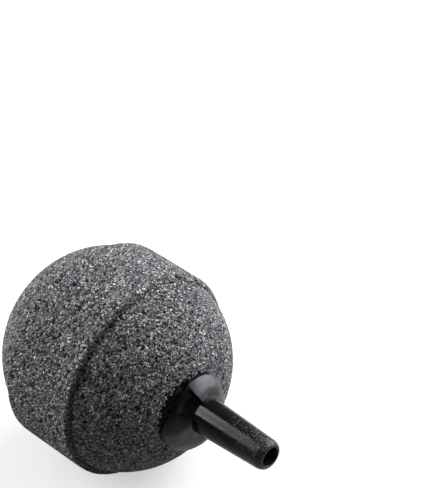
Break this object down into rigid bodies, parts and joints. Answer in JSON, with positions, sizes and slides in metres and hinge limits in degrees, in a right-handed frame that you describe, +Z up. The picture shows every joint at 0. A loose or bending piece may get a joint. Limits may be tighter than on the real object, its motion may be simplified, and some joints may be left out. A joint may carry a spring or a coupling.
{
  "type": "air stone",
  "caption": "Round porous air stone: a belted ball of bonded grit with a black plastic hose nipple glued in by a lumpy adhesive collar.",
  "frame": {"origin": "under the middle of the whole object, on the surface that the ball's belt rests on", "axes": "+X along the nipple, from the ball to the hose end; +Z up; the ball lies on one flat of its belt"},
  "size_m": [0.0438, 0.0298, 0.0299],
  "materials": {
    "bonded_grit": "coarse porous grit, matt, grey grains with dark pores",
    "black_plastic": "satin moulded plastic",
    "black_adhesive": "smooth glossy cured adhesive"
  },
  "bodies": {
    "root": {"stone_ball": "bonded_grit", "air_nipple": "black_plastic", "glue_collar": "black_adhesive"}
  },
  "joints": []
}
